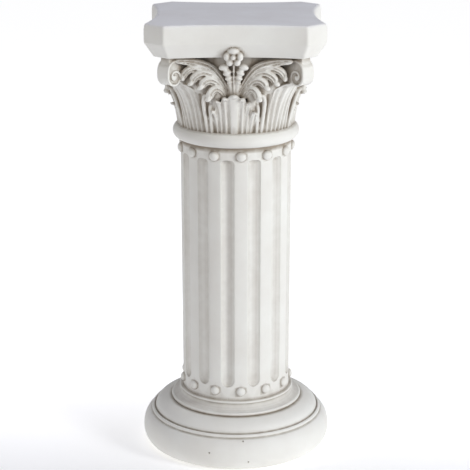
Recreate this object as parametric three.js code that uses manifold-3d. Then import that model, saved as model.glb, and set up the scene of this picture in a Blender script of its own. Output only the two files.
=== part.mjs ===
// A Corinthian column pedestal, cast in one piece: moulded round base, fluted shaft with rows of
// pellets, leafy capital with corner volutes, and a square top slab with hollowed sides.
// Millimetres, +Z up, the ground at z = 0, the column's axis on Z, one face of the top slab to -Y.
import * as THREE from "three";
import Module from "manifold-3d";
import { mergeVertices } from "three/addons/utils/BufferGeometryUtils.js";

// Whole column
const HEIGHT = 700;
const ROUND_STEPS = 32;
const FACES = 4;

// Arcs of the base's section from the ground up: centre, reach out, rise up, and the degrees each one runs
// over, counted from straight out
const BASE_ARCS = {
  lowerTorusFoot: { r: 135.3, z: 23.8, reach: 16.5, rise: 23.8, from: -90, to: 0, steps: 3 },
  lowerTorusCrown: { r: 135.3, z: 23.8, reach: 16.5, rise: 28, from: 27, to: 80, steps: 2 },
  lowBead: { r: 135, z: 54, reach: 3.3, rise: 3.3, from: -10, to: 110, steps: 1 },
  upperTorus: { r: 104, z: 56, reach: 28.3, rise: 18.5, from: 4, to: 84, steps: 2 },
  midBead: { r: 102.6, z: 77.2, reach: 3, rise: 3, from: -20, to: 90, steps: 1 },
  cove: { r: 101.5, z: 91.5, reach: 11.5, rise: 11.5, from: 250, to: 184, steps: 2 },
};
const FOOT_RING = { r: 92.3, low: 91.2, high: 94 };

// Shaft, a little wider at its top, with its flutes and pellets
const SHAFT = { footZ: 95, footRadius: 86.4, topZ: 506, topRadius: 87.3 };
const FLUTES = { count: 13, depth: 5.6, lowZ: 116, highZ: 488 };
const FLUTE_BAR = { radius: 13.5, sides: 10, bluntRadius: 9.5, lowBlunt: 3, lowFull: 12, highFull: 8 };
const FIRST_PELLET = 5.6;
const PELLET_ROWS = [
  { z: 110, radius: 7.6, proud: 6 },
  { z: 493.5, radius: 8.1, proud: 6.5 },
];
const PELLET_FACETS = { round: 6, tiers: 3 };

// Neck ring, and the bell that carries the leaves. The leaves, sprays and flower are turned a little
// against the slab and its volutes.
const NECK_RING = { r: 87.1, z: 518.9, reach: 12.2, rise: 12.2, from: -87, to: 87, steps: 4 };
const CARVING_FOOT_Z = 526;
const CARVING_TURN = -1.5;
const BELL = [[88, 600], [99, 655]];

// Top slab
const SLAB_HALF = 136.3;
const SLAB_CORNER_CUT = 30.2;
const SLAB_HOLLOW = 13;
const SLAB_SIDE_STEPS = 4;
const SLAB_LEVELS = [
  { z: 650, inset: 13.8 },
  { z: 671.5, inset: 0.5 },
  { z: 685, inset: 0 },
  { z: 696.5, inset: 0.8 },
  { z: HEIGHT, inset: 3.4 },
];

// Leaves: each rib is [degrees from the leaf's middle, top height, how far its top leans out]
const LEAF = { footRadius: 88, thickness: 9, backHeight: 0.97, ribDepth: 2.6, ribFade: 0.4 };
const MIDDLE_RIBS = [[0, 589, 15.5], [7.7, 584, 15], [13.4, 579, 12.5], [17.3, 562, 9.5]];
const CORNER_RIBS = [[0, 604, 33], [8, 602, 27], [14, 602, 20.5], [22, 585, 13]];
const LEAN_CURVE = [[0, 0], [0.6, 0.42], [1, 1]];

// Volutes under the slab's corners, by distance from the axis along the diagonal. The spiral is
// [degrees wound, radius], and the web behind it is an outline of [distance, height].
const VOLUTE = { reach: 139, z: 619.5, halfWidth: 12.5, webHalf: 9.5, band: 3.6, thinnest: 0.6, steps: 9 };
const VOLUTE_SPIRAL = [[-80, 25], [-52, 20.8], [-15, 15.2], [0, 14.7], [180, 12.4], [270, 9.8], [430, 5]];
const WEB = [[80, 585], [104, 600], [130, 610], [145, 611], [150.5, 621], [148, 653], [80, 653]];

// Sprays between the leaves, each a run of [degrees, height, radius, half width, thickness]
const STEM = [
  [2.8, 584, 92, 3.6, 3.5], [10, 609, 96, 5, 4.4], [20.5, 632, 104, 6.8, 5], [40, 644, 138, 4, 4],
];
const SIDE_LOBES = [
  [[8, 584, 94, 4, 3.5], [13, 598.5, 100, 6, 5.5], [18.6, 595, 107.5, 6.8, 6], [19.8, 583, 109, 5, 4]],
  [[9.5, 594, 94, 4, 3.5], [18, 614, 104.5, 7, 6], [24, 612, 112, 7, 6.2], [26, 600, 114, 5.4, 4.6]],
  [[15, 613, 97, 4, 3.5], [25, 627.5, 109, 7, 6], [34, 622, 120, 7.4, 6], [37, 609, 122, 5.6, 4.6]],
];
const BUD = [
  [1.4, 584, 95, 2.5, 3], [4.9, 617.5, 101, 4.4, 4.5], [6.6, 627, 103.5, 3.8, 3.8], [9, 637, 107, 6.6, 5],
];
const MIDDLE_STEM = [[0, 584, 96, 2, 4], [0, 651, 107, 2, 5]];

// The flower: its petal rings are [share of the radius, how far they stand out, depth of the notches]
const FLOWER = { z: 652.5, r: 113, radius: 13.6, petals: 5, eye: 4, eyeDrop: 1, eyeProud: 8 };
const PETAL_RINGS = [[0.9, -4, 0.2], [1, 5, 0.3], [0.6, 8.5, 0.2]];
const EYE_FACETS = { round: 5, tiers: 3 };

const WELD = 0.001;
const UP = new THREE.Vector3(0, 0, 1);
const wasm = await Module();
wasm.setup();

// Turns a closed geometry into a solid with its faces pointing out.
function solidOf(geometry) {
  const bare = geometry.clone();
  bare.deleteAttribute("normal");
  bare.deleteAttribute("uv");
  const merged = mergeVertices(bare, WELD);
  const places = merged.attributes.position.array;
  const corners = [];
  let volume = 0;
  for (let i = 0; i < merged.index.count; i += 3) {
    const [a, b, c] = [0, 1, 2].map((k) => merged.index.getX(i + k));
    if (a === b || b === c || c === a) continue;
    corners.push(a, b, c);
    const [p, q, r] = [a, b, c].map((n) => new THREE.Vector3().fromArray(places, 3 * n));
    volume += p.dot(q.cross(r));
  }
  if (volume < 0) corners.reverse();
  return new wasm.Manifold(new wasm.Mesh({
    numProp: 3,
    vertProperties: new Float32Array(places),
    triVerts: new Uint32Array(corners),
  }));
}

function joinAll(solids) {
  return solids.reduce((whole, next) => whole.add(next));
}

// A closed skin over rings of points, each end closed by a fan about the ring's middle.
function loft(rings) {
  const points = rings.flat();
  const count = rings[0].length;
  const triangles = [];
  for (let low = 0; low < (rings.length - 1) * count; low += count) {
    for (let i = 0; i < count; i += 1) {
      const j = (i + 1) % count;
      triangles.push(low + i, low + j, low + count + j, low + i, low + count + j, low + count + i);
    }
  }
  [0, (rings.length - 1) * count].forEach((start, end) => {
    const middle = new THREE.Vector3();
    for (let i = 0; i < count; i += 1) {
      const [a, b] = [start + i, start + ((i + 1) % count)];
      triangles.push(rings.length * count + end, end ? a : b, end ? b : a);
      middle.addScaledVector(points[a], 1 / count);
    }
    points.push(middle);
  });
  return new THREE.BufferGeometry().setFromPoints(points).setIndex(triangles);
}

// A place on the front of the capital: degrees from the middle of the face, height, radius.
function onFront(angle, z, radius) {
  const turn = THREE.MathUtils.degToRad(angle);
  return new THREE.Vector3(radius * Math.sin(turn), -radius * Math.cos(turn), z);
}

// Reads a value from a short table of [place, value] rows.
function between(table, place) {
  const k = Math.max(1, table.findIndex((row) => row[0] >= place));
  const [[x0, y0], [x1, y1]] = [table[k - 1], table[k]];
  return THREE.MathUtils.mapLinear(place, x0, x1, y0, y1);
}

// Points on an arc of a moulding's section.
function arc({ r, z, reach, rise, from, to, steps }) {
  return Array.from({ length: steps + 1 }, (_, i) => {
    const turn = THREE.MathUtils.degToRad(THREE.MathUtils.lerp(from, to, i / steps));
    return new THREE.Vector2(r + reach * Math.cos(turn), z + rise * Math.sin(turn));
  });
}

// Base, shaft, neck ring and bell, turned about the axis.
function turnedBody() {
  const profile = [
    new THREE.Vector2(0, 0),
    ...Object.values(BASE_ARCS).flatMap(arc),
    new THREE.Vector2(FOOT_RING.r, FOOT_RING.low),
    new THREE.Vector2(FOOT_RING.r, FOOT_RING.high),
    new THREE.Vector2(SHAFT.footRadius, SHAFT.footZ),
    new THREE.Vector2(SHAFT.topRadius, SHAFT.topZ),
    ...arc(NECK_RING),
    ...BELL.map(([r, z]) => new THREE.Vector2(r, z)),
    new THREE.Vector2(0, BELL.at(-1)[1]),
  ];
  return solidOf(new THREE.LatheGeometry(profile, ROUND_STEPS).rotateX(Math.PI / 2));
}

// The bar that cuts one flute: round, with blunt ends, and leaning with the shaft.
function fluteBar(turn) {
  const { radius, sides, bluntRadius, lowBlunt, lowFull, highFull } = FLUTE_BAR;
  const { depth, lowZ, highZ } = FLUTES;
  const profile = [
    new THREE.Vector2(0, lowZ),
    new THREE.Vector2(bluntRadius, lowZ + lowBlunt),
    new THREE.Vector2(radius, lowZ + lowFull),
    new THREE.Vector2(radius, highZ - highFull),
    new THREE.Vector2(bluntRadius, highZ),
    new THREE.Vector2(0, highZ),
  ];
  const bar = new THREE.LatheGeometry(profile, sides).rotateX(Math.PI / 2);
  bar.rotateX(Math.atan2(SHAFT.topRadius - SHAFT.footRadius, SHAFT.topZ - SHAFT.footZ));
  bar.translate(0, -(SHAFT.footRadius - depth + radius), 0);
  return solidOf(bar.rotateZ(turn));
}

function pellet({ z, radius, proud }, turn) {
  const ball = new THREE.SphereGeometry(radius, PELLET_FACETS.round, PELLET_FACETS.tiers);
  const out = THREE.MathUtils.mapLinear(z, SHAFT.footZ, SHAFT.topZ, SHAFT.footRadius, SHAFT.topRadius);
  return solidOf(ball.scale(1, proud / radius, 1).translate(0, -out, z).rotateZ(turn));
}

function flutedBody() {
  const pitch = (2 * Math.PI) / FLUTES.count;
  const first = THREE.MathUtils.degToRad(FIRST_PELLET);
  const turns = Array.from({ length: FLUTES.count }, (_, i) => first + i * pitch);
  const bars = turns.map((turn) => fluteBar(turn + pitch / 2));
  const pellets = turns.flatMap((turn) => PELLET_ROWS.map((row) => pellet(row, turn)));
  return joinAll([turnedBody().subtract(joinAll(bars)), ...pellets]);
}

// One level of the top slab: a square with cut corners and hollowed sides.
function slabRing({ z, inset }) {
  const half = SLAB_HALF - inset;
  const cut = SLAB_CORNER_CUT - inset * (2 - Math.SQRT2);
  const side = Array.from({ length: SLAB_SIDE_STEPS + 1 }, (_, i) => {
    const along = (2 * i) / SLAB_SIDE_STEPS - 1;
    return new THREE.Vector3(along * (half - cut), SLAB_HOLLOW * (1 - along * along) - half, z);
  });
  return onEachFace((turn) => side.map((point) => point.clone().applyAxisAngle(UP, turn))).flat();
}

function onEachFace(make) {
  return Array.from({ length: FACES }, (_, k) => make((2 * Math.PI * k) / FACES));
}

// A leaf on the neck ring. Ribs run up it, each to its own height, and it leans out as it rises.
function ribbedLeaf(middle, halfRibs) {
  const left = halfRibs.slice(1).reverse().map(([angle, ...rest]) => [-angle, ...rest]);
  const ribs = [...left, ...halfRibs];
  const columns = ribs.flatMap((rib, i) => {
    if (i === 0) return [[...rib, LEAF.ribDepth]];
    const before = ribs[i - 1];
    const valley = [(before[0] + rib[0]) / 2, Math.min(before[1], rib[1]), (before[2] + rib[2]) / 2, 0];
    return [valley, [...rib, LEAF.ribDepth]];
  });
  const rings = columns.map(([angle, top, lean, depth]) => {
    const place = (v, out) => {
      const z = THREE.MathUtils.lerp(CARVING_FOOT_Z, top, v);
      return onFront(middle + angle, z, LEAF.footRadius + lean * between(LEAN_CURVE, v) + out);
    };
    const front = LEAN_CURVE.map(([v]) => place(v, depth * (1 - LEAF.ribFade * v)));
    return [...front, place(LEAF.backHeight, -LEAF.thickness), place(0, -LEAF.thickness)];
  });
  return solidOf(loft(rings));
}

// A ridged tongue along a run of stations. Side is -1 for the mirrored copy.
function tongue(run, side) {
  const places = run.map(([angle, z, radius]) => onFront(side * angle, z, radius));
  let out = places[0].clone().setZ(0).normalize();
  const rings = places.map((place, i) => {
    const [before, after] = [places[Math.max(i - 1, 0)], places[Math.min(i + 1, places.length - 1)]];
    const along = after.clone().sub(before).normalize();
    out = out.clone().addScaledVector(along, -out.dot(along)).normalize();
    const across = new THREE.Vector3().crossVectors(along, out);
    const [halfWidth, thickness] = run[i].slice(3);
    const corner = (wide, deep) => place.clone().addScaledVector(across, wide * halfWidth)
      .addScaledVector(out, deep * thickness);
    return [corner(1, 0), corner(0, 1), corner(-1, 0), corner(0, -1)];
  });
  return solidOf(loft(rings));
}

// A place on the corner between two faces: distance from the axis, height, and across the diagonal.
function onCorner(reach, z, across) {
  const [out, side] = [onFront(45, 0, 1), onFront(135, 0, 1)];
  return out.multiplyScalar(reach).addScaledVector(side, across).setZ(z);
}

// The scroll under a corner: a band wound up on the web that carries it from the bell.
function volute() {
  const [from, to] = [VOLUTE_SPIRAL[0][0], VOLUTE_SPIRAL.at(-1)[0]];
  const rings = Array.from({ length: VOLUTE.steps + 1 }, (_, i) => {
    const wound = THREE.MathUtils.lerp(from, to, i / VOLUTE.steps);
    const turn = THREE.MathUtils.degToRad(wound);
    const outer = between(VOLUTE_SPIRAL, wound);
    const inner = outer - Math.min(VOLUTE.band, VOLUTE.thinnest * outer);
    const place = (r, across) => {
      return onCorner(VOLUTE.reach + r * Math.cos(turn), VOLUTE.z - r * Math.sin(turn), across);
    };
    const w = VOLUTE.halfWidth;
    return [place(outer, -w), place(outer, w), place(inner, w), place(inner, -w)];
  });
  const web = [-VOLUTE.webHalf, VOLUTE.webHalf].map((across) => WEB.map(([r, z]) => onCorner(r, z, across)));
  return solidOf(loft(rings)).add(solidOf(loft(web)));
}

// The flower on the slab's edge: a ring of round petals about an eye.
function flower() {
  const count = 2 * FLOWER.petals;
  const ring = ([share, out, notch]) => Array.from({ length: count }, (_, i) => {
    const turn = (2 * Math.PI * i) / count;
    const r = share * FLOWER.radius * (1 - (notch / 2) * (1 - Math.cos(FLOWER.petals * turn)));
    return new THREE.Vector3(r * Math.sin(turn), -FLOWER.r - out, FLOWER.z + r * Math.cos(turn));
  });
  const eye = new THREE.SphereGeometry(FLOWER.eye, EYE_FACETS.round, EYE_FACETS.tiers);
  eye.translate(0, -FLOWER.r - FLOWER.eyeProud, FLOWER.z - FLOWER.eyeDrop);
  return solidOf(loft(PETAL_RINGS.map(ring))).add(solidOf(eye));
}

function capitalFace() {
  const sprays = [STEM, ...SIDE_LOBES, BUD].flatMap((run) => [-1, 1].map((side) => tongue(run, side)));
  const leaves = [ribbedLeaf(0, MIDDLE_RIBS), ribbedLeaf(45, CORNER_RIBS)];
  const carving = joinAll([...leaves, ...sprays, tongue(MIDDLE_STEM, 1), flower()]);
  return carving.rotate([0, 0, CARVING_TURN]).add(volute());
}

// Gives a finished solid back as a plain mesh.
function geometryOf(solid) {
  const { vertProperties, triVerts } = solid.getMesh();
  const geometry = new THREE.BufferGeometry();
  geometry.setAttribute("position", new THREE.BufferAttribute(vertProperties, 3));
  geometry.setIndex(new THREE.BufferAttribute(triVerts, 1));
  geometry.computeVertexNormals();
  return geometry;
}

const face = capitalFace();
const capital = onEachFace((turn) => face.rotate([0, 0, THREE.MathUtils.radToDeg(turn)]));
const slab = solidOf(loft(SLAB_LEVELS.map(slabRing)));
const whole = joinAll([flutedBody(), slab, ...capital]);

const castStone = new THREE.MeshStandardMaterial({ color: 0xe6e3dd, roughness: 0.75, metalness: 0 });
const column = new THREE.Mesh(geometryOf(whole), castStone);
column.name = "cast_column";

const pedestal = new THREE.Group();
pedestal.add(column);

export default pedestal;
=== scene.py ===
"""A Corinthian column pedestal cast in one piece: its carved surface, its stone finish and its studio.

Shapes are worked out in millimetres on the column's own axis and scaled to metres when a mesh is made.
"""

import math

import bmesh
import bpy
import numpy as np
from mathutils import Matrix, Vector
from mathutils.bvhtree import BVHTree


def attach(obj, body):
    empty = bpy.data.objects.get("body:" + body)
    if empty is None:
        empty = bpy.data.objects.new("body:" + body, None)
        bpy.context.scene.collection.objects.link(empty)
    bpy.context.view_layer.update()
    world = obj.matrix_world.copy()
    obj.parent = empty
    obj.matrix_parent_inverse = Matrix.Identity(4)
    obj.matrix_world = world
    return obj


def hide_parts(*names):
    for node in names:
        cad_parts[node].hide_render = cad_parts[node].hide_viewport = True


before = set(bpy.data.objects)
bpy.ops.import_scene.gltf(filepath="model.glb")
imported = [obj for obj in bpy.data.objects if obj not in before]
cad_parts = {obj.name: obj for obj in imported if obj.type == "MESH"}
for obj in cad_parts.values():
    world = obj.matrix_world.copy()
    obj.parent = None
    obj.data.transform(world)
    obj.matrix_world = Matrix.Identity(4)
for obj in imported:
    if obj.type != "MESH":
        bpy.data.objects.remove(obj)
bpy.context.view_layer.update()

MM = 0.001
FACES = 4
HEIGHT = 700

# Turned profiles start and end this close to the axis, and run hidden inside the casting at this radius
AXIS = 0.5
CORE_RADIUS = 80

# Base mouldings. The upper torus and the foot ring are (distance of the centre from the axis, height of the
# centre, reach outwards, rise); the beads and the cove are (distance, height, radius)
BASE_SIDES = 144
TORUS_OUTER = 151.8
TORUS_OVERHANG = 16.5
TORUS_WIDEST_Z = 23.8
TORUS_CROWN = 28
UNDERSIDE_INSET = 12
LOW_BEAD = (135, 54, 3.3)
UPPER_TORUS = (104, 56, 28.3, 18.5)
MID_BEAD = (102.6, 77.2, 3)
COVE = (101.5, 91.5, 11.5)
FOOT_RING = (89.6, 92.8, 2.7, 2.2)
BASE_TOP_Z = 97

# Air holes left by the casting in the base, as (degrees from the front, height, distance from the axis)
PITS = [(-15.7, 31, 151.2), (7.7, 17.6, 151.2), (4.8, 49, 142.4)]
PIT_RADIUS = 1.5

# Shaft, a little wider at its top, with its flutes: each is hollowed to an arc of FLUTE_BITE degrees either way
SHAFT_FOOT_Z = 95
SHAFT_FOOT_RADIUS = 86.4
SHAFT_TOP_RADIUS = 87.3
SHAFT_TOP_Z = 506
FLUTES = 13
FLUTE_HALF_ANGLE = 7.1
FLUTE_BITE = 66
FLUTE_DEPTH = 6.3
FLUTE_LOW_Z = 117
FLUTE_LOW_ARCH = 11
FLUTE_HIGH_Z = 487.5
FLUTE_HIGH_ARCH = 8.5
FLUTE_EDGE_ROUNDING = 0.3

# First pellet in degrees from the front, and both rows as (height, radius, how far they stand out)
FIRST_PELLET = 5.6
PELLETS = [(110, 7.6, 6.0), (493.5, 8.1, 6.5)]
PELLET_SIDES = 24

# Neck ring as (distance of the centre from the axis, height, radius), and the foot of the leaves on it
NECK_RING = (87.1, 518.9, 12.2)
NECK_RING_SIDES = 120
LEAF_FOOT_Z = 526
LEAF_FOOT_RADIUS = 88

# A leaf stands up over this share of its length and rolls over by this many degrees in the rest; its edge
# drops by so many millimetres on either side
LEAF_UPRIGHT = 0.84
LEAF_ROLL = 125
LEAF_EDGE_DROP = 9
LEAF_ROWS = 50

# The bell's outline as (radius, height)
BELL = [(87, 520), (88, 560), (89, 590), (91, 612), (95, 632), (100, 655)]
BELL_SIDES = 96

# Top slab: half its width, its cut corners, how far its sides are hollowed, how far each arris is rounded
# along its faces, and its edge as rows of (height, inset from the widest outline)
SLAB_HALF = 136.3
SLAB_CORNER_CUT = 30.2
SLAB_HOLLOW = 13
SLAB_SIDE_POINTS = 57
SLAB_ARRIS_REACH = 2.2
SLAB_LEVELS = [(649.5, 18), (649.6, 15.4), (650.2, 13.8), (653, 12), (656, 10.1), (659, 8.1), (662, 6.2),
               (665, 4.3), (668, 2.3), (670.4, 0.8), (671.6, 0.35), (673.4, 0.1), (679, 0), (686, 0),
               (692, 0.15), (695.8, 0.7), (698, 1.5), (699.3, 2.7), (699.9, 4.2), (700, 6), (700, 9)]

# Rings that close the slab's flat top, as (radius, how far its points are spaced evenly, from 0 to 1)
SLAB_TOP_RINGS = [(108, 0), (80, 0.4), (50, 0.8), (20, 1)]


def linear(code):
    """An sRGB hex colour as the linear colour a shader takes."""
    parts = [int(code[i:i + 2], 16) / 255 for i in (1, 3, 5)]
    return [c / 12.92 if c <= 0.04045 else ((c + 0.055) / 1.055) ** 2.4 for c in parts] + [1.0]


def make_piece(name, points, triangles):
    """A mesh object from points in millimetres."""
    mesh = bpy.data.meshes.new(name)
    mesh.from_pydata((np.asarray(points) * MM).tolist(), [], np.asarray(triangles).tolist())
    mesh.validate()
    mesh.update()
    piece = bpy.data.objects.new(name, mesh)
    bpy.context.scene.collection.objects.link(piece)
    return piece


def skin(rings):
    """Points and triangles of a closed skin over rings of points, with a fan at each end."""
    rings = np.asarray(rings, float)
    count, size = rings.shape[:2]
    points = np.concatenate([rings.reshape(-1, 3), rings[[0, -1]].mean(1)])
    here = np.arange(size)
    after = np.roll(here, -1)
    low = np.arange(count - 1)[:, None] * size
    a, b, c, d = low + here, low + after, low + size + after, low + size + here
    last = (count - 1) * size
    fans = [np.stack([np.full(size, len(points) - 2), after, here], -1),
            np.stack([np.full(size, len(points) - 1), last + here, last + after], -1)]
    sides = [np.stack([a, b, c], -1).reshape(-1, 3), np.stack([a, c, d], -1).reshape(-1, 3)]
    triangles = np.concatenate(sides + fans)
    corners = points[triangles]
    volume = np.einsum("ij,ij->", corners[:, 0], np.cross(corners[:, 1], corners[:, 2]))
    return points, triangles if volume > 0 else triangles[:, ::-1]


def gather(skins):
    """Several skins as one list of points and triangles."""
    starts = np.cumsum([0] + [len(points) for points, _ in skins])
    triangles = [some + start for (_, some), start in zip(skins, starts)]
    return np.concatenate([points for points, _ in skins]), np.concatenate(triangles)


def turned_about_axis(points, degrees):
    """The points turned about the column's axis."""
    c, s = math.cos(math.radians(degrees)), math.sin(math.radians(degrees))
    return points @ np.array([[c, s, 0], [-s, c, 0], [0, 0, 1]])


def on_face(angle, z, radius):
    """Places on the front of the capital: degrees from the face's middle, height, distance from the axis."""
    turn = np.radians(angle)
    return np.stack(np.broadcast_arrays(radius * np.sin(turn), -radius * np.cos(turn), z), -1)


def on_corner(reach, z, across):
    """Places under the slab's front right corner, by distance along the diagonal and across it."""
    half = math.sqrt(0.5)
    return np.stack(np.broadcast_arrays((reach + across) * half, (across - reach) * half, z), -1)


def lathe(profile, columns):
    """A closed turned skin; the profile of (radius, z) starts and ends near the axis."""
    profile = np.asarray(profile, float)
    turns = np.arange(columns) * 2 * math.pi / columns
    return skin(np.stack([np.outer(profile[:, 0], np.cos(turns)), np.outer(profile[:, 0], np.sin(turns)),
                          np.repeat(profile[:, 1:2], columns, 1)], -1))


def arc(r, z, reach, rise, start, end, steps):
    """(radius, z) points on an arc of a moulding's section, in degrees from straight out."""
    turns = np.radians(np.linspace(start, end, steps + 1))
    return list(np.stack([r + reach * np.cos(turns), z + rise * np.sin(turns)], -1))


def curve_through(stations, steps):
    """Catmull-Rom curve through rows of numbers, with the same number of steps between each pair."""
    rows = np.asarray(stations, float)
    rows = np.vstack([2 * rows[0] - rows[1], rows, 2 * rows[-1] - rows[-2]])
    found = []
    for a, b, c, d in zip(rows, rows[1:], rows[2:], rows[3:]):
        for t in np.arange(steps) / steps:
            found.append(0.5 * (2 * b + (c - a) * t + (2 * a - 5 * b + 4 * c - d) * t ** 2
                                + (3 * b - a - 3 * c + d) * t ** 3))
    found.append(rows[-2])
    return np.array(found)


def base_skin():
    """The round base: fat lower torus, beads, upper torus, cove and ring."""
    centre = TORUS_OUTER - TORUS_OVERHANG
    profile = [(AXIS, 0), (centre - UNDERSIDE_INSET, 0)]
    profile += arc(centre, TORUS_WIDEST_Z, TORUS_OVERHANG, TORUS_WIDEST_Z, -90, 0, 14)
    profile += arc(centre, TORUS_WIDEST_Z, TORUS_OVERHANG, TORUS_CROWN, 6, 77, 12)
    profile += arc(*LOW_BEAD, LOW_BEAD[2], -45, 150, 8)
    profile += arc(*UPPER_TORUS, -2, 86, 14)
    profile += arc(*MID_BEAD, MID_BEAD[2], -55, 105, 8)
    profile += arc(*COVE, COVE[2], 265, 184, 9)
    profile += arc(*FOOT_RING, -60, 70, 6)
    profile += [(87.2, 95.4), (CORE_RADIUS, BASE_TOP_Z), (AXIS, BASE_TOP_Z)]
    return lathe(profile, BASE_SIDES)


def shaft_radius(z):
    """The shaft's radius at a height."""
    return np.interp(z, (SHAFT_FOOT_Z, SHAFT_TOP_Z), (SHAFT_FOOT_RADIUS, SHAFT_TOP_RADIUS))


def shaft_skin():
    """The shaft: lands run from ring to ring and the flutes between them end in arches."""
    pitch = 360 / FLUTES
    across = np.array([-1, -0.975, -0.92, -0.84, -0.7, -0.5, -0.26, 0, 0.26, 0.5, 0.7, 0.84, 0.92, 0.975, 1])
    land = np.array([0.06, 0.25, 0.5, 0.75, 0.94])
    ease = 1 - np.cos(np.linspace(0, math.pi / 2, 13))
    plain = [140, 170, 210, 260, 310, 360, 410, 450]
    rows = np.concatenate([[92, 100, 108, 114, FLUTE_LOW_Z - 0.6], FLUTE_LOW_Z + FLUTE_LOW_ARCH * ease, plain,
                           FLUTE_HIGH_Z - FLUTE_HIGH_ARCH * ease[::-1],
                           [FLUTE_HIGH_Z + 0.6, 491, 498, 509]])
    bite = math.radians(FLUTE_BITE)
    dish = (np.sqrt(1 - (across * math.sin(bite)) ** 2) - math.cos(bite)) / (1 - math.cos(bite))
    rings = []
    for z in rows:
        low = np.clip((z - FLUTE_LOW_Z) / FLUTE_LOW_ARCH, 0, 1)
        high = np.clip((FLUTE_HIGH_Z - z) / FLUTE_HIGH_ARCH, 0, 1)
        wide = (1 - (1 - low) ** 2) ** 0.5 * (1 - (1 - high) ** 3) ** (1 / 3)
        half = FLUTE_HALF_ANGLE * max(wide, 0.02)
        radius = shaft_radius(z) - FLUTE_DEPTH * dish * wide ** 0.8
        radius[[0, -1]] -= FLUTE_EDGE_ROUNDING * min(1, 4 * wide)
        ring = []
        for k in range(FLUTES):
            middle = FIRST_PELLET + (k + 0.5) * pitch
            ring.append(on_face(middle + across * half, z, radius))
            ring.append(on_face(middle + half + land * (pitch - 2 * half), z, shaft_radius(z)))
        rings.append(np.concatenate(ring))
    return skin(rings)


def pellet_skins():
    """Half-round pellets over the lands, one row near each end of the shaft."""
    skins = []
    turns = np.linspace(0, 2 * math.pi, PELLET_SIDES, endpoint=False)
    bulge = np.radians(np.linspace(2, 88, 10))
    for z, radius, proud in PELLETS:
        seat = shaft_radius(z) - 0.4
        rings = []
        for depth, size in zip(proud * np.cos(bulge), radius * np.sin(bulge)):
            face = np.full(PELLET_SIDES, -seat - depth)
            rings.append(np.stack([size * np.cos(turns), face, z + size * np.sin(turns)], -1))
        rings.append(rings[-1] * [1, 0, 1] - [0, seat - 4, 0])
        points, triangles = skin(rings)
        for k in range(FLUTES):
            skins.append((turned_about_axis(points, FIRST_PELLET + k * 360 / FLUTES), triangles))
    return skins


def neck_ring_skin():
    """The plain roll between shaft and leaves."""
    r, z, size = NECK_RING
    foot, head = z - 8, z + 9
    profile = [(AXIS, foot), (CORE_RADIUS, foot)]
    profile += arc(r, z, size, size, -88, 88, 26)
    profile += [(CORE_RADIUS, head), (AXIS, head)]
    return lathe(profile, NECK_RING_SIDES)


def slab_skin():
    """The top slab: cut corners, hollowed sides, a slanting underside and a soft upper edge."""
    along = np.linspace(-1, 1, SLAB_SIDE_POINTS)
    rings = []
    for z, inset in SLAB_LEVELS:
        half = SLAB_HALF - inset
        cut = SLAB_CORNER_CUT - inset * (2 - math.sqrt(2))
        side = np.stack([along * (half - cut), SLAB_HOLLOW * (1 - along ** 2) - half, z + 0 * along], -1)
        outline = np.concatenate([turned_about_axis(side, 90 * k) for k in range(FACES)])
        rings.append(soft_corners(outline, len(side)))
    rim = rings[-1]
    per_side = len(rim) // FACES
    even = 360 / len(rim) * (np.arange(len(rim)) - (per_side - 1) / 2)
    seen = np.degrees(np.unwrap(np.arctan2(rim[:, 0], -rim[:, 1])))
    for radius, share in SLAB_TOP_RINGS:
        rings.append(on_face(seen + (even - seen) * share, HEIGHT, radius))
    return skin(rings)


def soft_corners(ring, size):
    """Rounds each arris of the slab's outline a little; size is the number of points on a side."""
    found = []
    for k in range(FACES):
        first, last = k * size, (k + 1) * size - 1
        for tip, before, after in ((first, first - 1, first + 1), (last, last - 1, (last + 1) % len(ring))):
            into = ring[before] - ring[tip]
            away = ring[after] - ring[tip]
            a = ring[tip] + into / np.linalg.norm(into) * SLAB_ARRIS_REACH
            b = ring[tip] + away / np.linalg.norm(away) * SLAB_ARRIS_REACH
            arris = [a * (1 - t) ** 2 + 2 * t * (1 - t) * ring[tip] + b * t * t for t in (0, 0.5, 1)]
            found += arris + (list(ring[first + 1:last]) if tip == first else [])
    return np.array(found)


def bell_skin():
    """The plain bell behind the leaves."""
    return lathe([(AXIS, BELL[0][1])] + BELL + [(AXIS, BELL[-1][1])], BELL_SIDES)


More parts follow.
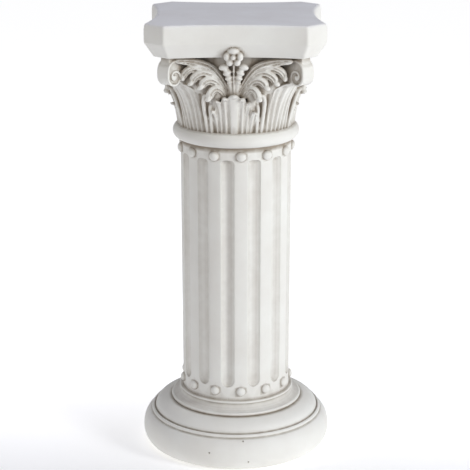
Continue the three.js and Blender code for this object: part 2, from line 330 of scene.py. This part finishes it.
def leaf(middle, ribs, lobes, spread=1.1, curl=3.4, thick=4):
    """A leaf standing on the neck ring: a ribbed sheet that fans out as it rises and curls over at its lobes.

    ribs runs across it as rows of (degrees, relief) and lobes as rows of (degrees, height of the edge, lean),
    with the lobes' tips in the even places and the notches between them in the odd ones.
    """
    rib_places, relief = np.array(ribs, float).T
    degrees, edges, leans = np.array(lobes, float).T
    across = np.unique(np.concatenate([np.linspace(rib_places[0], rib_places[-1], 12 * len(ribs)), degrees]))
    top = np.interp(across, degrees, edges)
    for k in range(len(lobes) - 1):
        tip, notch = (k, k + 1) if k % 2 == 0 else (k + 1, k)
        share = (across - degrees[tip]) / (degrees[notch] - degrees[tip])
        part = (share >= 0) & (share <= 1)
        top[part] = edges[tip] - (edges[tip] - edges[notch]) * share[part] ** 2.2
    for limit, k in ((rib_places[0], 0), (rib_places[-1], -1)):
        share = (across - degrees[k]) / (limit - degrees[k])
        top[share > 0] = edges[k] - LEAF_EDGE_DROP * share[share > 0] ** 2.2
    lean = np.interp(across, degrees, leans)[:, None]
    steep = np.gradient(top, across * math.radians(LEAF_FOOT_RADIUS))
    curl = (curl / (1 + steep ** 2))[:, None]
    step = np.clip(np.searchsorted(rib_places, across, "right"), 1, len(ribs) - 1)
    eased = (across - rib_places[step - 1]) / (rib_places[step] - rib_places[step - 1])
    eased = 0.5 - 0.5 * np.cos(math.pi * eased)
    crest = (relief[step - 1] + (relief[step] - relief[step - 1]) * eased)[:, None]
    across, top = across[:, None], top[:, None]
    v = np.linspace(0, 1, LEAF_ROWS)[None, :]
    rise = np.clip(v / LEAF_UPRIGHT, 0, 1)
    turn = np.radians(LEAF_ROLL) * np.clip((v - LEAF_UPRIGHT) / (1 - LEAF_UPRIGHT), 0, 1)
    z = LEAF_FOOT_Z + (top - curl - LEAF_FOOT_Z) * rise + curl * np.sin(turn)
    out = LEAF_FOOT_RADIUS + lean * (0.6 * rise + 0.4 * rise ** 4) + curl * (1 - np.cos(turn))
    angle = middle + across * (1 + (spread - 1) * (rise ** 2 - 0.5))
    height = crest * (1 - 0.6 * np.clip((v - 0.8) / 0.2, 0, 1))
    front = on_face(angle, z - height * np.sin(turn), out + height * np.cos(turn))
    rear = on_face(angle, z + thick * np.sin(turn), out - thick * np.cos(turn))
    deep = on_face(angle, z, np.full_like(out, CORE_RADIUS))
    bury = (1 - np.clip(v / 0.7, 0, 1) + 0 * across)[..., None]
    rear = rear * (1 - bury) + deep * bury
    return skin(np.concatenate([front, rear[:, ::-1]], axis=1))


def tongue(stations, side=1, ridges=1, groove=0.0, steps=9, round_ends=0.14):
    """A rounded tongue through stations of (degrees, height, radius, half width, thickness)."""
    run = curve_through(stations, steps)
    places = on_face(side * run[:, 0], run[:, 1], run[:, 2])
    along = np.gradient(places, axis=0)
    along /= np.linalg.norm(along, axis=1)[:, None]
    length = np.concatenate([[0], np.cumsum(np.linalg.norm(np.diff(places, axis=0), axis=1))])
    share = length / length[-1]
    tip = np.clip((1 - share) / round_ends, 0, 1)
    root = np.clip(share / 0.08, 0, 1)
    full = np.sqrt(1 - (1 - tip) ** 2) * np.sqrt(1 - 0.7 * (1 - root) ** 2)
    full = np.maximum(full, 0.04)
    turns = np.linspace(0, 2 * math.pi, 16 + 14 * ridges, endpoint=False)
    wide, deep = np.cos(turns), np.sin(turns)
    ridge = 0.5 + 0.5 * np.cos(math.pi * (ridges * (wide + 1) - 1))
    dent = np.where(deep > 0, 1 - groove * (1 - ridge) * np.clip(deep / 0.4, 0, 1), 1)
    out = places[0] * [1, 1, 0]
    out /= np.linalg.norm(out)
    rings = []
    for place, way, row, size in zip(places, along, run, full):
        out = out - way * (out @ way)
        out /= np.linalg.norm(out)
        across = np.cross(way, out)
        w, h = row[3] * size, row[4] * size
        rings.append(place + np.outer(w * wide, across) + np.outer(h * deep * dent, out))
    return skin(rings)


def ball(centre, sizes, turn=0.0):
    """An ellipsoid knob; turn leans it in the plane of the face."""
    bulge = np.radians(np.linspace(3, 177, 12))
    turns = np.linspace(0, 2 * math.pi, 20, endpoint=False)
    rings = np.stack([np.outer(np.sin(bulge), np.cos(turns)), np.repeat(-np.cos(bulge)[:, None], 20, 1),
                      np.outer(np.sin(bulge), np.sin(turns))], -1) * sizes
    c, s = math.cos(math.radians(turn)), math.sin(math.radians(turn))
    rings = rings @ np.array([[c, 0, s], [0, 1, 0], [-s, 0, c]])
    points, triangles = skin(rings)
    return points + centre, triangles


# The spray beside the middle leaf: stations of (degrees from the face's middle, height, distance from the
# axis, half width, thickness), and its knobs of (degrees, height, distance, half width, half height)
STEM = [(2.8, 584, 92, 3.6, 3.5), (8, 603, 95, 5, 4.4), (13.6, 619, 98.5, 6.4, 5.4),
        (20.5, 632, 104, 7.2, 6.2), (31, 640.5, 117, 6.4, 6), (40, 644, 138, 4, 4)]
SIDE_LOBES = [
    [(8, 584, 94, 4, 3.5), (12, 596, 98.5, 5.8, 5), (15.8, 600, 103, 7, 6), (18.6, 595, 107.5, 7.2, 6),
     (19.8, 584, 108.5, 5.8, 5)],
    [(9.5, 594, 94, 4, 3.5), (14, 607, 100, 6, 5.2), (19, 613.5, 106, 7.4, 6.4), (23.2, 611, 111.5, 7.4, 6.2),
     (25.3, 601.5, 113, 6.2, 5.4)],
    [(12, 605, 95, 4, 3.5), (18, 619, 103, 6, 5.4), (24.5, 624, 110, 7, 6.2), (29.6, 618.5, 116.5, 7, 6),
     (32, 608, 118, 6, 5.4)],
    [(17, 618, 98, 4, 3.5), (23.5, 629.5, 106.5, 5.8, 5.4), (30, 632.5, 115, 6.2, 5.8),
     (35.4, 626.5, 122, 6.2, 5.6), (38.5, 614, 123, 5.4, 5)],
]
TIP_KNOBS = [(19.9, 586, 112, 5, 4), (25.3, 603.5, 116.5, 5.6, 4), (31.8, 609.5, 121.5, 5.6, 3.8),
             (37.4, 616.5, 126, 4, 4.4)]

# Plain backing behind the lobes and in the gap between the leaves, with stations as above
LOBE_BACKING = [(7, 586, 91, 5, 3), (15, 598, 95, 12, 4), (25, 606, 102, 16, 5), (35, 612, 110, 17, 5),
                (45, 614, 114, 16, 5)]
GAP_BACKING = [(17.5, 540, 88, 4, 3), (16.5, 562, 92.5, 6.5, 3.5), (16, 584, 97, 7, 4), (14, 600, 98, 5, 3)]

# The bud beside the flower's stem: its stalk and scales, and the depth and lean of every knob
BUD_STALK = [(1.6, 584, 95, 3, 3.4), (3, 604, 98, 3.5, 4), (4.3, 618, 101, 4.3, 4.6), (5.6, 628, 104, 4.8, 5),
             (8, 636, 106.5, 4.8, 5)]
BUD_KNOBS = [(3.6, 611, 101, 4.6, 2.8), (4.3, 618, 103, 6, 3.4), (5.3, 626, 105, 7, 4),
             (7.7, 635.5, 107.5, 8.4, 5)]
KNOB_DEPTH = 5
KNOB_LEAN = 25

# The flower's stem, its height, the distance of its face from the axis, and its petals: a hood above, two
# beside and two below, as (across, up, half width, half height, depth)
MIDDLE_STEM = [(0, 584, 95, 1.9, 4), (0, 600, 98, 1.6, 4), (0, 622, 102, 1.5, 4), (0, 648, 109, 2, 5)]
FLOWER_Z = 652.5
FLOWER_FACE = 116.5
PETALS = [(0, 8.6, 9.4, 6.2, 7.4), (9.8, 0, 5, 7, 5.8), (-9.8, 0, 5, 7, 5.8),
          (5.6, -9.2, 5.2, 5.2, 5.2), (-5.6, -9.2, 5.2, 5.2, 5.2)]


def flower_skins():
    """The flower on the slab: its petals, the disc behind them and a round eye."""
    skins = [ball((x, -FLOWER_FACE, FLOWER_Z + z), (wide, deep, tall)) for x, z, wide, tall, deep in PETALS]
    skins.append(ball((0, -FLOWER_FACE + 2.5, FLOWER_Z - 1), (8, 3, 8)))
    skins.append(ball((-0.4, -FLOWER_FACE - 2.4, FLOWER_Z - 1.2), (4.3, 5.2, 4.3)))
    return skins


# The volute's centre, its band and the band's thickness, with the spiral as (degrees wound, distance from the
# centre); the outline of the web that carries it, as (distance from the axis, height); and its eye, as
# (radius, distance across)
VOLUTE_REACH = 139
VOLUTE_Z = 619.5
VOLUTE_HALF_WIDTH = 12.5
VOLUTE_BAND = 3.4
VOLUTE_SPIRAL = [(-136, 36), (-115, 28.8), (-95, 26.2), (-75, 24.6), (-52, 20.8), (-35, 17.5), (-15, 15.2),
                 (0, 14.7), (90, 13.9), (180, 12.4), (270, 9.8), (360, 7.2), (450, 4.9), (540, 3)]
VOLUTE_STEPS = 96
WEB = [(CORE_RADIUS, 583), (104, 598), (124, 609), (133, 610), (145, 611), (150.5, 621), (150, 632),
       (147.5, 652), (CORE_RADIUS, 652)]
WEB_HALF_WIDTH = 9.4
EYE = [(1.2, -13.6), (2.6, -12.9), (3.1, -11), (3.1, 11), (2.6, 12.9), (1.2, 13.6)]
EYE_SIDES = 16


def volute_skins():
    """The scroll under a corner: a band wound into a spiral on both sides, on the web that carries it."""
    table = np.array(VOLUTE_SPIRAL, float)
    turns = np.linspace(table[0, 0], table[-1, 0], VOLUTE_STEPS)
    outer = np.interp(turns, table[:, 0], table[:, 1])
    band = np.minimum(VOLUTE_BAND, 0.55 * outer)
    across = np.array([-1, -0.94, -0.8, -0.6, -0.3, 0, 0.3, 0.6, 0.8, 0.94, 1])
    crown = np.array([-0.8, 0, 0.1, -0.5, -1.0, -1.15, -1.0, -0.5, 0.1, 0, -0.8])
    shrink = np.interp(turns, [0, 180, 540], [1, 1, 0.97])
    rings = []
    for turn, r, thick, narrow in zip(np.radians(turns), outer, band, shrink):
        lip = r + crown * (1 if turn < math.radians(200) else 0.2)
        w = VOLUTE_HALF_WIDTH * narrow * across
        face = on_corner(VOLUTE_REACH + lip * math.cos(turn), VOLUTE_Z - lip * math.sin(turn), w)
        under = r - thick
        inner = on_corner(VOLUTE_REACH + under * math.cos(turn), VOLUTE_Z - under * math.sin(turn), w[::-1])
        rings.append(np.concatenate([face, inner]))
    web = [on_corner(*np.array(WEB, float).T, side) for side in (-WEB_HALF_WIDTH, WEB_HALF_WIDTH)]
    round_eye = np.linspace(0, 2 * math.pi, EYE_SIDES, endpoint=False)
    eye = [on_corner(VOLUTE_REACH + size * np.cos(round_eye), VOLUTE_Z + size * np.sin(round_eye), side)
           for size, side in EYE]
    return [skin(rings), skin(web), skin(eye)]


# Two raised ribs at each edge of the corner leaf: the outer one arches over towards the middle of the face
ARCH_RIB = [(26.6, 526, 88, 3, 3), (26.9, 550, 94, 3.2, 3.2), (26.8, 570, 100, 3.4, 3.6),
            (25.8, 583, 104, 3.6, 4), (23.4, 590.5, 106.5, 3.8, 4.2), (20.6, 586, 106, 3.4, 3.4)]
INNER_RIB = [(22, 526, 88, 3, 3), (22.1, 550, 92.5, 3, 3), (21.7, 568, 97, 3.2, 3.4),
             (20.4, 577.5, 100, 3.4, 3.2)]

# Ribs of the middle leaf from its middle outwards, as (degrees, relief), and lobes of both leaves from one
# edge to the other, as (degrees, height of the edge, lean)
MIDDLE_RIBS = [(2.6, 3.4), (5.2, 0), (7.9, 2.8), (10.4, 0), (12.7, 2.4), (14.8, 0), (17, 2.2), (19.2, -1)]
CORNER_RIB_PITCH = 2.6
CORNER_RIB_STEPS = 10
CORNER_RIB_RELIEF = 3.2
MIDDLE_LOBES = [(-17.6, 564, 9), (-16, 560, 10), (-14, 580.5, 12.5), (-10.6, 576, 13.5), (-7.8, 585.5, 15),
                (-4.9, 583.5, 15), (0, 589.5, 15.5), (4.9, 583.5, 15), (7.7, 584.5, 14.5), (10.3, 574.5, 13),
                (13, 578.5, 12.5), (14.9, 559, 10.5), (16.8, 563, 9.5)]
CORNER_LOBES = [(-21, 590, 13), (-18, 586, 15), (-14, 606, 21), (-12.2, 596, 22), (0, 606, 33),
                (12.2, 596, 22), (14, 606, 21), (18, 586, 15), (21, 590, 13)]


def leaf_skins():
    """The leaf in the middle of a face and the leaf under a volute."""
    middle_ribs = [(-degrees, relief) for degrees, relief in MIDDLE_RIBS[::-1]] + MIDDLE_RIBS
    corner_ribs = []
    for k in range(-CORNER_RIB_STEPS, CORNER_RIB_STEPS + 1):
        relief = -1 if abs(k) == CORNER_RIB_STEPS else CORNER_RIB_RELIEF * (k % 2)
        corner_ribs.append((CORNER_RIB_PITCH * k, relief))
    return [leaf(0, middle_ribs, MIDDLE_LOBES, curl=4.2), leaf(45, corner_ribs, CORNER_LOBES, spread=1.06)]


# How many degrees the carving is turned against slab and volutes, the grain in millimetres at which it is
# fused, and the triangles that it keeps
CARVING_TURN = -1.5
CARVING_GRAIN = 0.95
CARVING_TRIANGLES = 108000


def capital_skins():
    """All the carving of the capital: one face's worth, repeated round the four faces."""
    one_face = leaf_skins() + flower_skins() + [tongue(MIDDLE_STEM)]
    for side in (-1, 1):
        one_face.append(tongue(STEM, side, ridges=3, groove=0.75, round_ends=0.05))
        one_face += [tongue(lobe, side, ridges=3, groove=0.62) for lobe in SIDE_LOBES]
        one_face += [tongue(run, side) for run in (BUD_STALK, LOBE_BACKING, GAP_BACKING, ARCH_RIB, INNER_RIB)]
        for angle, z, radius, wide, tall in BUD_KNOBS + TIP_KNOBS:
            place = on_face(side * angle, z, radius)
            one_face.append(ball(place, (wide, KNOB_DEPTH, tall), turn=-side * KNOB_LEAN))
    one_face = [(turned_about_axis(points, CARVING_TURN), triangles) for points, triangles in one_face]
    one_face += volute_skins()
    skins = [bell_skin()]
    for k in range(FACES):
        skins += [(turned_about_axis(points, 90 * k), triangles) for points, triangles in one_face]
    return skins


# Edges shorter than SLIVER millimetres are closed up after the parts are joined, and edges sharper than
# CRISP_DEGREES stay crisp
SLIVER = 0.03
CRISP_DEGREES = 42


def settled(piece):
    """The piece with its modifiers worked into its mesh."""
    graph = bpy.context.evaluated_depsgraph_get()
    mesh = bpy.data.meshes.new_from_object(piece.evaluated_get(graph))
    piece.modifiers.clear()
    old = piece.data
    piece.data = mesh
    bpy.data.meshes.remove(old)
    return piece


def with_modifier(piece, kind, **settings):
    """Adds one modifier and works it in."""
    modifier = piece.modifiers.new(kind.lower(), kind)
    for key, value in settings.items():
        setattr(modifier, key, value)
    return settled(piece)


def cleaned(piece):
    """The piece with the shortest edges that joining leaves closed up, so that it shades more evenly.

    A few slivers stay, and closing up can leave open edges on them.
    """
    surface = bmesh.new()
    surface.from_mesh(piece.data)
    bmesh.ops.dissolve_degenerate(surface, dist=SLIVER * MM, edges=surface.edges)
    bmesh.ops.triangulate(surface, faces=surface.faces)
    surface.to_mesh(piece.data)
    surface.free()
    return piece


def carved_capital():
    """The capital's carving fused into one skin, as it comes out of a mould."""
    capital = make_piece("capital", *gather(capital_skins()))
    with_modifier(capital, "REMESH", mode="VOXEL", voxel_size=CARVING_GRAIN * MM)
    with_modifier(capital, "SMOOTH", factor=0.5, iterations=1)
    count = sum(face.loop_total - 2 for face in capital.data.polygons)
    return with_modifier(capital, "DECIMATE", ratio=min(1.0, CARVING_TRIANGLES / count))


def cast_column():
    """The whole casting: turned and carved parts joined into one piece."""
    column = carved_capital()
    parts = [[base_skin()], [shaft_skin()], [neck_ring_skin()], [slab_skin()], pellet_skins()]
    for number, skins in enumerate(parts):
        part = make_piece(f"part_{number}", *gather(skins))
        with_modifier(column, "BOOLEAN", operation="UNION", solver="MANIFOLD", object=part)
        bpy.data.objects.remove(part)
    pits = make_piece("pits", *gather([ball(on_face(*place), [PIT_RADIUS] * 3) for place in PITS]))
    with_modifier(column, "BOOLEAN", operation="DIFFERENCE", solver="MANIFOLD", object=pits)
    bpy.data.objects.remove(pits)
    column.name = "column_casting"
    return cleaned(column)


def shade_softly(piece, degrees):
    """Smooth shading that leans on the larger faces, with edges sharper than this kept crisp."""
    mesh = piece.data
    mesh.polygons.foreach_set("use_smooth", [True] * len(mesh.polygons))
    mesh.set_sharp_from_angle(angle=math.radians(degrees))
    with_modifier(piece, "WEIGHTED_NORMAL", mode="FACE_AREA", keep_sharp=True)


def hollow_shade(piece, reach=26.0, rays=16, lift=0.4):
    """How enclosed each point of the surface is, from 0 to 1, kept on the mesh for the finish.

    The finish darkens the colour where this is high: painted shade in the hollows, together with the wash that
    the maker wipes off the high places. From each point rays go out over the half space above it, densest
    straight up; lift and reach are where they start and end, in mm.
    """
    mesh = piece.data
    points = np.empty(3 * len(mesh.vertices))
    corners = np.empty(3 * len(mesh.polygons), int)
    mesh.vertices.foreach_get("co", points)
    mesh.polygons.foreach_get("vertices", corners)
    points, corners = points.reshape(-1, 3), corners.reshape(-1, 3)
    a, b, c = points[corners[:, 0]], points[corners[:, 1]], points[corners[:, 2]]
    facing = np.zeros_like(points)
    for ends in corners.T:
        np.add.at(facing, ends, np.cross(b - a, c - a))
    facing /= np.linalg.norm(facing, axis=1)[:, None] + 1e-20
    tree = BVHTree.FromPolygons(points.tolist(), corners.tolist())
    golden = math.pi * (3 - math.sqrt(5))
    fan = []
    for k in range(rays):
        up = math.sqrt((k + 0.5) / rays)
        flat = math.sqrt(1 - up * up)
        fan.append(Vector((flat * math.cos(k * golden), flat * math.sin(k * golden), up)))
    shade = []
    for point, way_out in zip(points, facing):
        normal = Vector(way_out)
        turn = normal.to_track_quat("Z", "Y").to_matrix()
        start = Vector(point) + normal * lift * MM
        near = 0.0
        for way in fan:
            hit = tree.ray_cast(start, turn @ way, reach * MM)[3]
            if hit is not None:
                near += 1 - hit / (reach * MM)
        shade.append(near / rays)
    layer = mesh.attributes.new("hollow", "FLOAT", "POINT")
    layer.data.foreach_set("value", shade)


def add_node(tree, kind, settings=None, links=None):
    """Adds a shader node, sets its properties and sockets, and links other nodes' outputs to its inputs."""
    node = tree.nodes.new(kind)
    for key, value in (settings or {}).items():
        if isinstance(key, str) and hasattr(node, key):
            setattr(node, key, value)
        else:
            node.inputs[key].default_value = value
    for key, source in (links or {}).items():
        tree.links.new(source, node.inputs[key])
    return node


def cast_stone():
    """Stone-dust resin, cast in a mould and wiped with a thin wash: matt, chalky, off-white.

    It shows clouds a hand wide in the body colour, grey-beige in the hollows that is partly the wash left there
    and partly painted shade, and a fine sandy grain over a slightly uneven surface.
    """
    material = bpy.data.materials.new("cast_stone_moulded")
    material.use_nodes = True
    tree = material.node_tree
    shader = tree.nodes["Principled BSDF"]
    shader.inputs["IOR"].default_value = 1.5
    place = add_node(tree, "ShaderNodeTexCoord").outputs["Object"]
    clouds = add_node(tree, "ShaderNodeTexNoise", {"Scale": 1 / 0.07, "Detail": 4.0, "Roughness": 0.55},
                      {"Vector": place})
    body = add_node(tree, "ShaderNodeValToRGB", {}, {"Fac": clouds.outputs["Fac"]})
    body.color_ramp.elements[0].position = 0.3
    body.color_ramp.elements[0].color = linear("#EAE8E3")
    body.color_ramp.elements[1].position = 0.72
    body.color_ramp.elements[1].color = linear("#F2F2EE")
    # Painted shade: the body colour is darkened towards grey-beige where the surface is enclosed, standing for
    # shade in the hollows as well as the wash left there
    hollow = add_node(tree, "ShaderNodeAttribute", {"attribute_name": "hollow"}).outputs["Fac"]
    patchy = add_node(tree, "ShaderNodeTexNoise", {"Scale": 1 / 0.012, "Detail": 3.0}, {"Vector": place})
    uneven = add_node(tree, "ShaderNodeMapRange",
                      {"From Min": 0.3, "From Max": 0.7, "To Min": 0.75, "To Max": 1.2},
                      {"Value": patchy.outputs["Fac"]})
    patchy_shade_and_wash = add_node(tree, "ShaderNodeMath", {"operation": "MULTIPLY"},
                   {0: hollow, 1: uneven.outputs["Result"]})
    taken = add_node(tree, "ShaderNodeMapRange", {"From Min": 0.035, "From Max": 0.5},
                     {"Value": patchy_shade_and_wash.outputs["Value"]})
    shade_and_wash = add_node(tree, "ShaderNodeMath", {"operation": "POWER", 1: 0.72}, {0: taken.outputs["Result"]})
    colour = add_node(tree, "ShaderNodeMix", {"data_type": "RGBA"}, {"Factor": shade_and_wash.outputs["Value"]})
    tree.links.new(body.outputs["Color"], colour.inputs["A"])
    # The grey-beige of the painted shade and the wash in the hollows
    colour.inputs["B"].default_value = linear("#9F9486")
    tree.links.new(colour.outputs["Result"], shader.inputs["Base Color"])
    # Real grit is under half a millimetre; it is drawn at about one and a half so that it shows.
    grain = add_node(tree, "ShaderNodeTexNoise", {"Scale": 1 / 0.0016, "Detail": 3.0}, {"Vector": place})
    swell = add_node(tree, "ShaderNodeTexNoise", {"Scale": 1 / 0.02, "Detail": 2.0}, {"Vector": place})
    fine = add_node(tree, "ShaderNodeBump", {"Strength": 0.25, "Distance": 0.0002},
                    {"Height": grain.outputs["Fac"]})
    broad = add_node(tree, "ShaderNodeBump", {"Strength": 0.3, "Distance": 0.0012},
                     {"Height": swell.outputs["Fac"], "Normal": fine.outputs["Normal"]})
    tree.links.new(broad.outputs["Normal"], shader.inputs["Normal"])
    matt = add_node(tree, "ShaderNodeMapRange", {"To Min": 0.62, "To Max": 0.82},
                    {"Value": grain.outputs["Fac"]})
    tree.links.new(matt.outputs["Result"], shader.inputs["Roughness"])
    return material


def studio_paper():
    """Matt white studio paper that glows with painted light, more strongly the further it lies behind the
    column.
    """
    material = bpy.data.materials.new("studio_paper")
    material.use_nodes = True
    tree = material.node_tree
    shader = tree.nodes["Principled BSDF"]
    shader.inputs["Base Color"].default_value = linear("#F4F4F4")
    shader.inputs["Roughness"].default_value = 0.9
    shader.inputs["Emission Color"].default_value = linear("#FFFFFF")
    place = add_node(tree, "ShaderNodeTexCoord").outputs["Object"]
    depth = add_node(tree, "ShaderNodeSeparateXYZ", {}, {"Vector": place})
    # Painted light: the paper's own glow rises from nothing in front of the column to full strength behind it
    glow = add_node(tree, "ShaderNodeMapRange",
                    {"interpolation_type": "SMOOTHSTEP", "From Min": -0.58, "From Max": 0.42,
                     "To Min": 0.0, "To Max": 0.75},
                    {"Value": depth.outputs["Y"]})
    tree.links.new(glow.outputs["Result"], shader.inputs["Emission Strength"])
    return material


def studio_floor():
    """A wide pale floor."""
    half = 12000
    corners = [(-half, -half, 0), (half, -half, 0), (half, half, 0), (-half, half, 0)]
    floor = make_piece("studio_floor", corners, [(0, 1, 2), (0, 2, 3)])
    floor.data.materials.append(studio_paper())


LIGHT_AIM_Z = 0.42


def soft_box(name, azimuth, elevation, distance, size, power, colour):
    """A soft box aimed above the column's middle; azimuth 0 is in front and 90 to the right."""
    light = bpy.data.lights.new(name, "AREA")
    light.shape = "SQUARE"
    light.size = size
    light.energy = power
    light.color = linear(colour)[:3]
    lamp = bpy.data.objects.new(name, light)
    a, e = math.radians(azimuth), math.radians(elevation)
    aim = Vector((0, 0, LIGHT_AIM_Z))
    back = Vector((math.sin(a) * math.cos(e), -math.cos(a) * math.cos(e), math.sin(e)))
    lamp.location = aim + back * distance
    lamp.rotation_euler = back.to_track_quat("Z", "Y").to_euler()
    bpy.context.scene.collection.objects.link(lamp)


def studio_light():
    """A key light from the right, a weak fill from the front left and a dim cool light overhead."""
    soft_box("key_light", 58, 16, 2.6, 0.7, 33.5, "#FDFFFF")
    soft_box("fill_light", -25, 22, 2.6, 1.6, 13, "#FFFBF4")
    soft_box("top_light", 0, 89, 2.2, 0.9, 11, "#DCE0FF")
    world = bpy.data.worlds.new("studio")
    world.use_nodes = True
    world.node_tree.nodes["Background"].inputs["Color"].default_value = linear("#F2F2F5")
    world.node_tree.nodes["Background"].inputs["Strength"].default_value = 0.28
    bpy.context.scene.world = world
    bpy.context.scene.view_settings.view_transform = "Standard"


# The photo's camera, fitted to the column's own circles: in pixels of the photo, metres and degrees
PHOTO_WIDTH = 470
FOCAL_PIXELS = 1560
AXIS_PIXEL = 236
CAMERA_DISTANCE = 2.399
CAMERA_HEIGHT = 1.042
CAMERA_TURN = 0.35
CAMERA_DROP = 16.21


def photo_camera():
    """The camera where the photo was taken from, a little above the slab and looking down."""
    data = bpy.data.cameras.new("photo_camera")
    data.sensor_width = 36
    data.lens = FOCAL_PIXELS / PHOTO_WIDTH * data.sensor_width
    data.shift_x = (PHOTO_WIDTH / 2 - AXIS_PIXEL) / PHOTO_WIDTH
    data.clip_end = 60
    camera = bpy.data.objects.new("photo_camera", data)
    turn = math.radians(CAMERA_TURN)
    camera.location = (CAMERA_DISTANCE * math.sin(turn), -CAMERA_DISTANCE * math.cos(turn), CAMERA_HEIGHT)
    camera.rotation_euler = (math.radians(90 - CAMERA_DROP), 0, turn)
    bpy.context.scene.collection.objects.link(camera)
    bpy.context.scene.camera = camera


photo_camera()
column = cast_column()
shade_softly(column, CRISP_DEGREES)
hollow_shade(column)
column.data.materials.clear()
column.data.materials.append(cast_stone())
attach(column, "root")
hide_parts("cast_column")
studio_floor()
studio_light()
